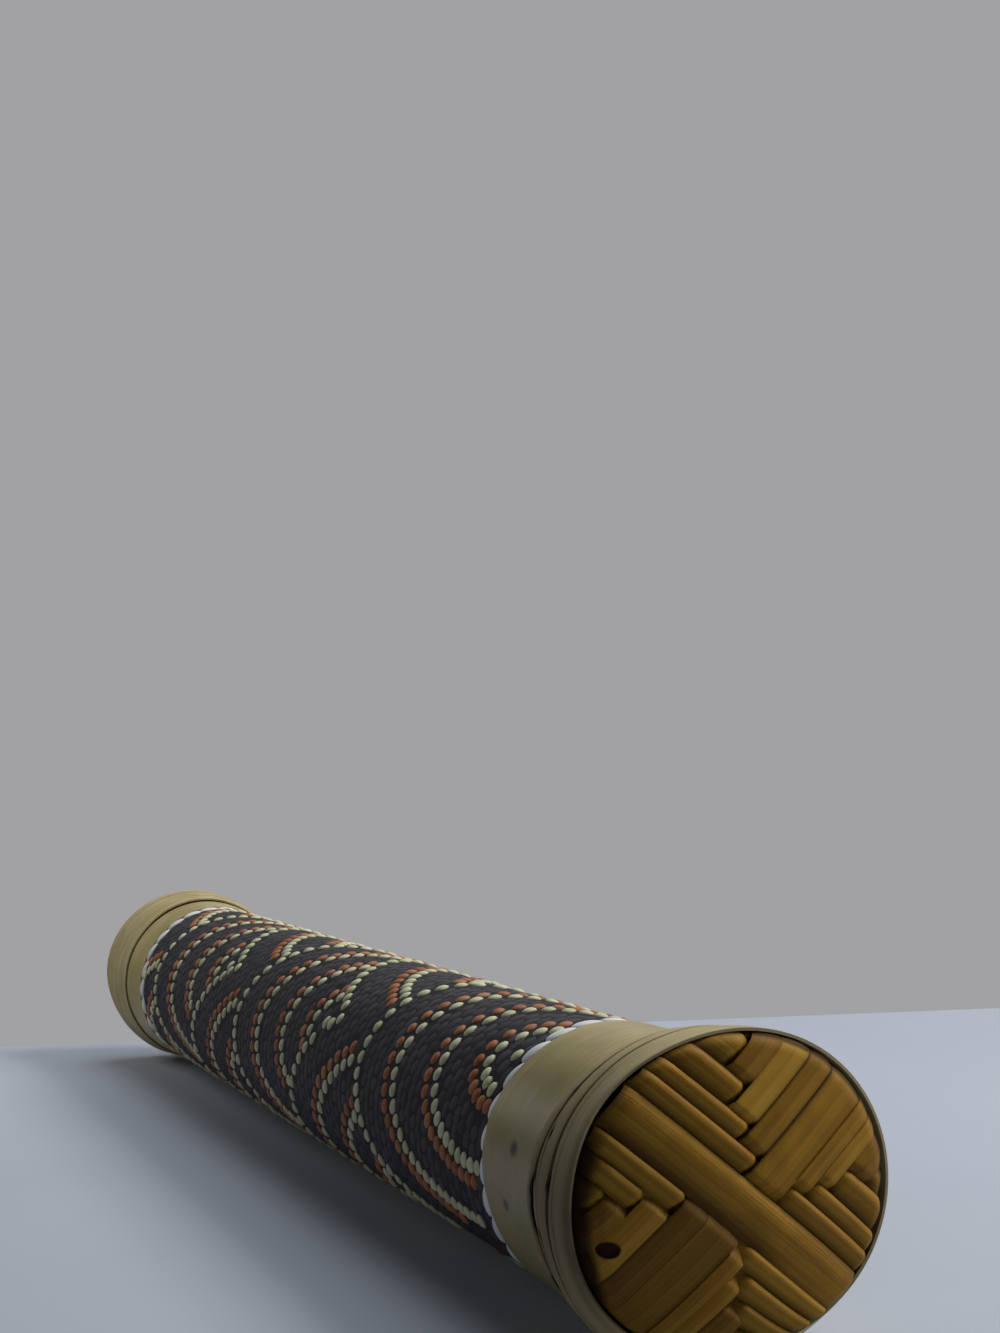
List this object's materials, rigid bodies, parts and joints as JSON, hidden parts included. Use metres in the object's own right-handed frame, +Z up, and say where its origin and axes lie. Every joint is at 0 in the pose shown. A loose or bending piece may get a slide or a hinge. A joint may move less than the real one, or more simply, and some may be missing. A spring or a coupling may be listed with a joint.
{
  "type": "rain stick",
  "caption": "Rain stick: bamboo tube crossed by pegs with loose pebbles inside, in a patterned woven sleeve, with plaited cane ends, wound cane rims and smooth collars.",
  "frame": {"origin": "on the table under the middle of the lying stick", "axes": "+X along the stick towards its front end, +Z up"},
  "size_m": [0.4, 0.0648, 0.0644],
  "materials": {
    "bamboo": "matt bamboo",
    "plug_wood": "bare wood",
    "peg_wood": "bare bamboo",
    "pebble_stone": "smooth pebble",
    "black_weave": "close woven",
    "white_stitch": "flat strip",
    "tail_cane": "split cane",
    "collar_cane": "smooth cane skin",
    "binding_cane": "split cane",
    "golden_cane": "varnished cane"
  },
  "bodies": {
    "stick": {"core_tube": "bamboo", "woven_sleeve": "black_weave", "peg_01": "peg_wood", "peg_02": "peg_wood", "peg_03": "peg_wood", "peg_04": "peg_wood", "peg_05": "peg_wood", "peg_06": "peg_wood", "peg_07": "peg_wood", "peg_08": "peg_wood", "front_plug": "plug_wood", "front_tail_band": "tail_cane", "front_collar": "collar_cane", "front_binding": "binding_cane", "front_edge_stitching": "white_stitch", "front_splint_a1": "golden_cane", "front_splint_a2": "golden_cane", "front_splint_a3": "golden_cane", "front_splint_a4": "golden_cane", "front_splint_a5": "golden_cane", "front_splint_a6": "golden_cane", "front_splint_a7": "golden_cane", "front_splint_a8": "golden_cane", "front_splint_a9": "golden_cane", "front_splint_b1": "golden_cane", "front_splint_b2": "golden_cane", "front_splint_b3": "golden_cane", "front_splint_b4": "golden_cane", "front_splint_b5": "golden_cane", "front_splint_b6": "golden_cane", "front_splint_b7": "golden_cane", "front_splint_b8": "golden_cane", "front_splint_b9": "golden_cane", "rear_plug": "plug_wood", "rear_tail_band": "tail_cane", "rear_collar": "collar_cane", "rear_binding": "binding_cane", "rear_edge_stitching": "white_stitch", "rear_splint_a1": "golden_cane", "rear_splint_a2": "golden_cane", "rear_splint_a3": "golden_cane", "rear_splint_a4": "golden_cane", "rear_splint_a5": "golden_cane", "rear_splint_a6": "golden_cane", "rear_splint_a7": "golden_cane", "rear_splint_a8": "golden_cane", "rear_splint_a9": "golden_cane", "rear_splint_b1": "golden_cane", "rear_splint_b2": "golden_cane", "rear_splint_b3": "golden_cane", "rear_splint_b4": "golden_cane", "rear_splint_b5": "golden_cane", "rear_splint_b6": "golden_cane", "rear_splint_b7": "golden_cane", "rear_splint_b8": "golden_cane", "rear_splint_b9": "golden_cane"},
    "loose_pebble_1": {"pebble_01": "pebble_stone"},
    "loose_pebble_2": {"pebble_02": "pebble_stone"},
    "loose_pebble_3": {"pebble_03": "pebble_stone"},
    "loose_pebble_4": {"pebble_04": "pebble_stone"}
  },
  "joints": [
    {"name": "loose_pebble_1_run", "type": "slide", "parent": "stick", "child": "loose_pebble_1", "axis": [1, 0, 0], "range_m": [-0.1694, 0.1694]},
    {"name": "loose_pebble_2_run", "type": "slide", "parent": "stick", "child": "loose_pebble_2", "axis": [1, 0, 0], "range_m": [-0.1694, 0.1694]},
    {"name": "loose_pebble_3_run", "type": "slide", "parent": "stick", "child": "loose_pebble_3", "axis": [1, 0, 0], "range_m": [-0.1694, 0.1694]},
    {"name": "loose_pebble_4_run", "type": "slide", "parent": "stick", "child": "loose_pebble_4", "axis": [1, 0, 0], "range_m": [-0.1694, 0.1694]}
  ]
}
